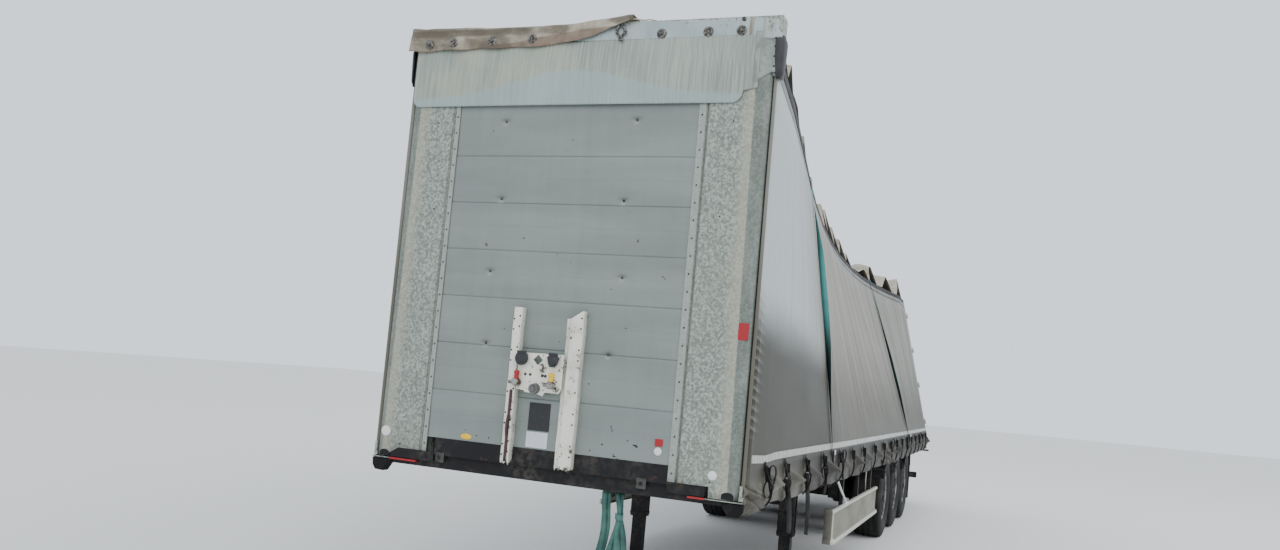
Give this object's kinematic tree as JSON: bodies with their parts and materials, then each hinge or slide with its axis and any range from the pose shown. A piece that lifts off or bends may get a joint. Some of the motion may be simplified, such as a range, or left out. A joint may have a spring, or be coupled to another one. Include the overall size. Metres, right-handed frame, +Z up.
{
  "type": "curtain-sided semi trailer",
  "caption": "Tri-axle curtain-sided semi trailer standing on its landing legs, its body racked sideways, with freely turning wheels and swinging rear doors.",
  "frame": {"origin": "middle of the kingpin's upper collar, on its axis", "axes": "+X forward along the trailer, +Y to its left, +Z up; the kingpin points along -Z"},
  "size_m": [13.796, 3.4574, 4.0121],
  "materials": {
    "chassis_black": "worn satin",
    "galvanised": "spangled zinc",
    "plank_grey": "matt",
    "flap_grey": "coated cloth",
    "cap_black": "matt",
    "bracket_cream": "chipped",
    "coupling_dark": "plain",
    "deck_wood": "coated ply",
    "guard_black": "matt",
    "side_guard_white": "painted",
    "curtain_grey": "coated cloth",
    "roof_cream": "coated cloth",
    "bellows_rubber": "matt",
    "tyre_rubber": "worn",
    "rim_grey": "rusty paint",
    "rail_alu": "dull",
    "door_grey": "dull paint",
    "lamp_red": "gloss",
    "tank_grey": "satin"
  },
  "bodies": {
    "trailer": {"air_bellows": "bellows_rubber", "air_tank": "tank_grey", "axles": "chassis_black", "beam_left": "chassis_black", "beam_right": "chassis_black", "cant_rails": "rail_alu", "connector_bracket": "bracket_cream", "corner_caps": "cap_black", "coupling_plate": "chassis_black", "couplings": "coupling_dark", "cross_members": "chassis_black", "curtain_left": "curtain_grey", "curtain_right": "curtain_grey", "deck": "deck_wood", "front_beam": "chassis_black", "front_header": "galvanised", "front_panel": "plank_grey", "front_post_left": "galvanised", "front_post_right": "galvanised", "hangers": "chassis_black", "header_flap": "flap_grey", "kingpin": "galvanised", "landing_leg_left": "chassis_black", "landing_leg_right": "chassis_black", "leg_drive": "chassis_black", "mudguards": "guard_black", "pillars": "rail_alu", "portal_header": "galvanised", "portal_post_left": "galvanised", "portal_post_right": "galvanised", "rear_lamps": "lamp_red", "rear_sill": "chassis_black", "roof_bows": "rail_alu", "roof_tarp": "roof_cream", "side_guards": "side_guard_white", "side_raves": "galvanised", "spray_flaps": "guard_black", "tension_poles": "rail_alu", "trailing_arms": "chassis_black", "underrun_bar": "chassis_black"},
    "wheel_1_left": {"tyre_1_left": "tyre_rubber", "rim_1_left": "rim_grey"},
    "wheel_1_right": {"tyre_1_right": "tyre_rubber", "rim_1_right": "rim_grey"},
    "wheel_2_left": {"tyre_2_left": "tyre_rubber", "rim_2_left": "rim_grey"},
    "wheel_2_right": {"tyre_2_right": "tyre_rubber", "rim_2_right": "rim_grey"},
    "wheel_3_left": {"tyre_3_left": "tyre_rubber", "rim_3_left": "rim_grey"},
    "wheel_3_right": {"tyre_3_right": "tyre_rubber", "rim_3_right": "rim_grey"},
    "door_left": {"door_left": "door_grey"},
    "door_right": {"door_right": "door_grey"}
  },
  "joints": [
    {"name": "wheel_1_left_spin", "type": "hinge", "parent": "trailer", "child": "wheel_1_left", "pos_m": [-6.39, 1.0175, -0.547], "axis": [0, 1, 0], "continuous": true},
    {"name": "wheel_1_right_spin", "type": "hinge", "parent": "trailer", "child": "wheel_1_right", "pos_m": [-6.39, -1.0175, -0.547], "axis": [0, 1, 0], "continuous": true},
    {"name": "wheel_2_left_spin", "type": "hinge", "parent": "trailer", "child": "wheel_2_left", "pos_m": [-7.7, 1.0175, -0.547], "axis": [0, 1, 0], "continuous": true},
    {"name": "wheel_2_right_spin", "type": "hinge", "parent": "trailer", "child": "wheel_2_right", "pos_m": [-7.7, -1.0175, -0.547], "axis": [0, 1, 0], "continuous": true},
    {"name": "wheel_3_left_spin", "type": "hinge", "parent": "trailer", "child": "wheel_3_left", "pos_m": [-9.01, 1.0175, -0.547], "axis": [0, 1, 0], "continuous": true},
    {"name": "wheel_3_right_spin", "type": "hinge", "parent": "trailer", "child": "wheel_3_right", "pos_m": [-9.01, -1.0175, -0.547], "axis": [0, 1, 0], "continuous": true},
    {"name": "door_left_swing", "type": "hinge", "parent": "trailer", "child": "door_left", "pos_m": [-12.067, 1.2747, 0.168], "axis": [0, 0.2315, -0.9728], "range_deg": [0, 270]},
    {"name": "door_right_swing", "type": "hinge", "parent": "trailer", "child": "door_right", "pos_m": [-12.067, -1.2747, 0.168], "axis": [0, -0.2315, 0.9728], "range_deg": [0, 270]}
  ]
}
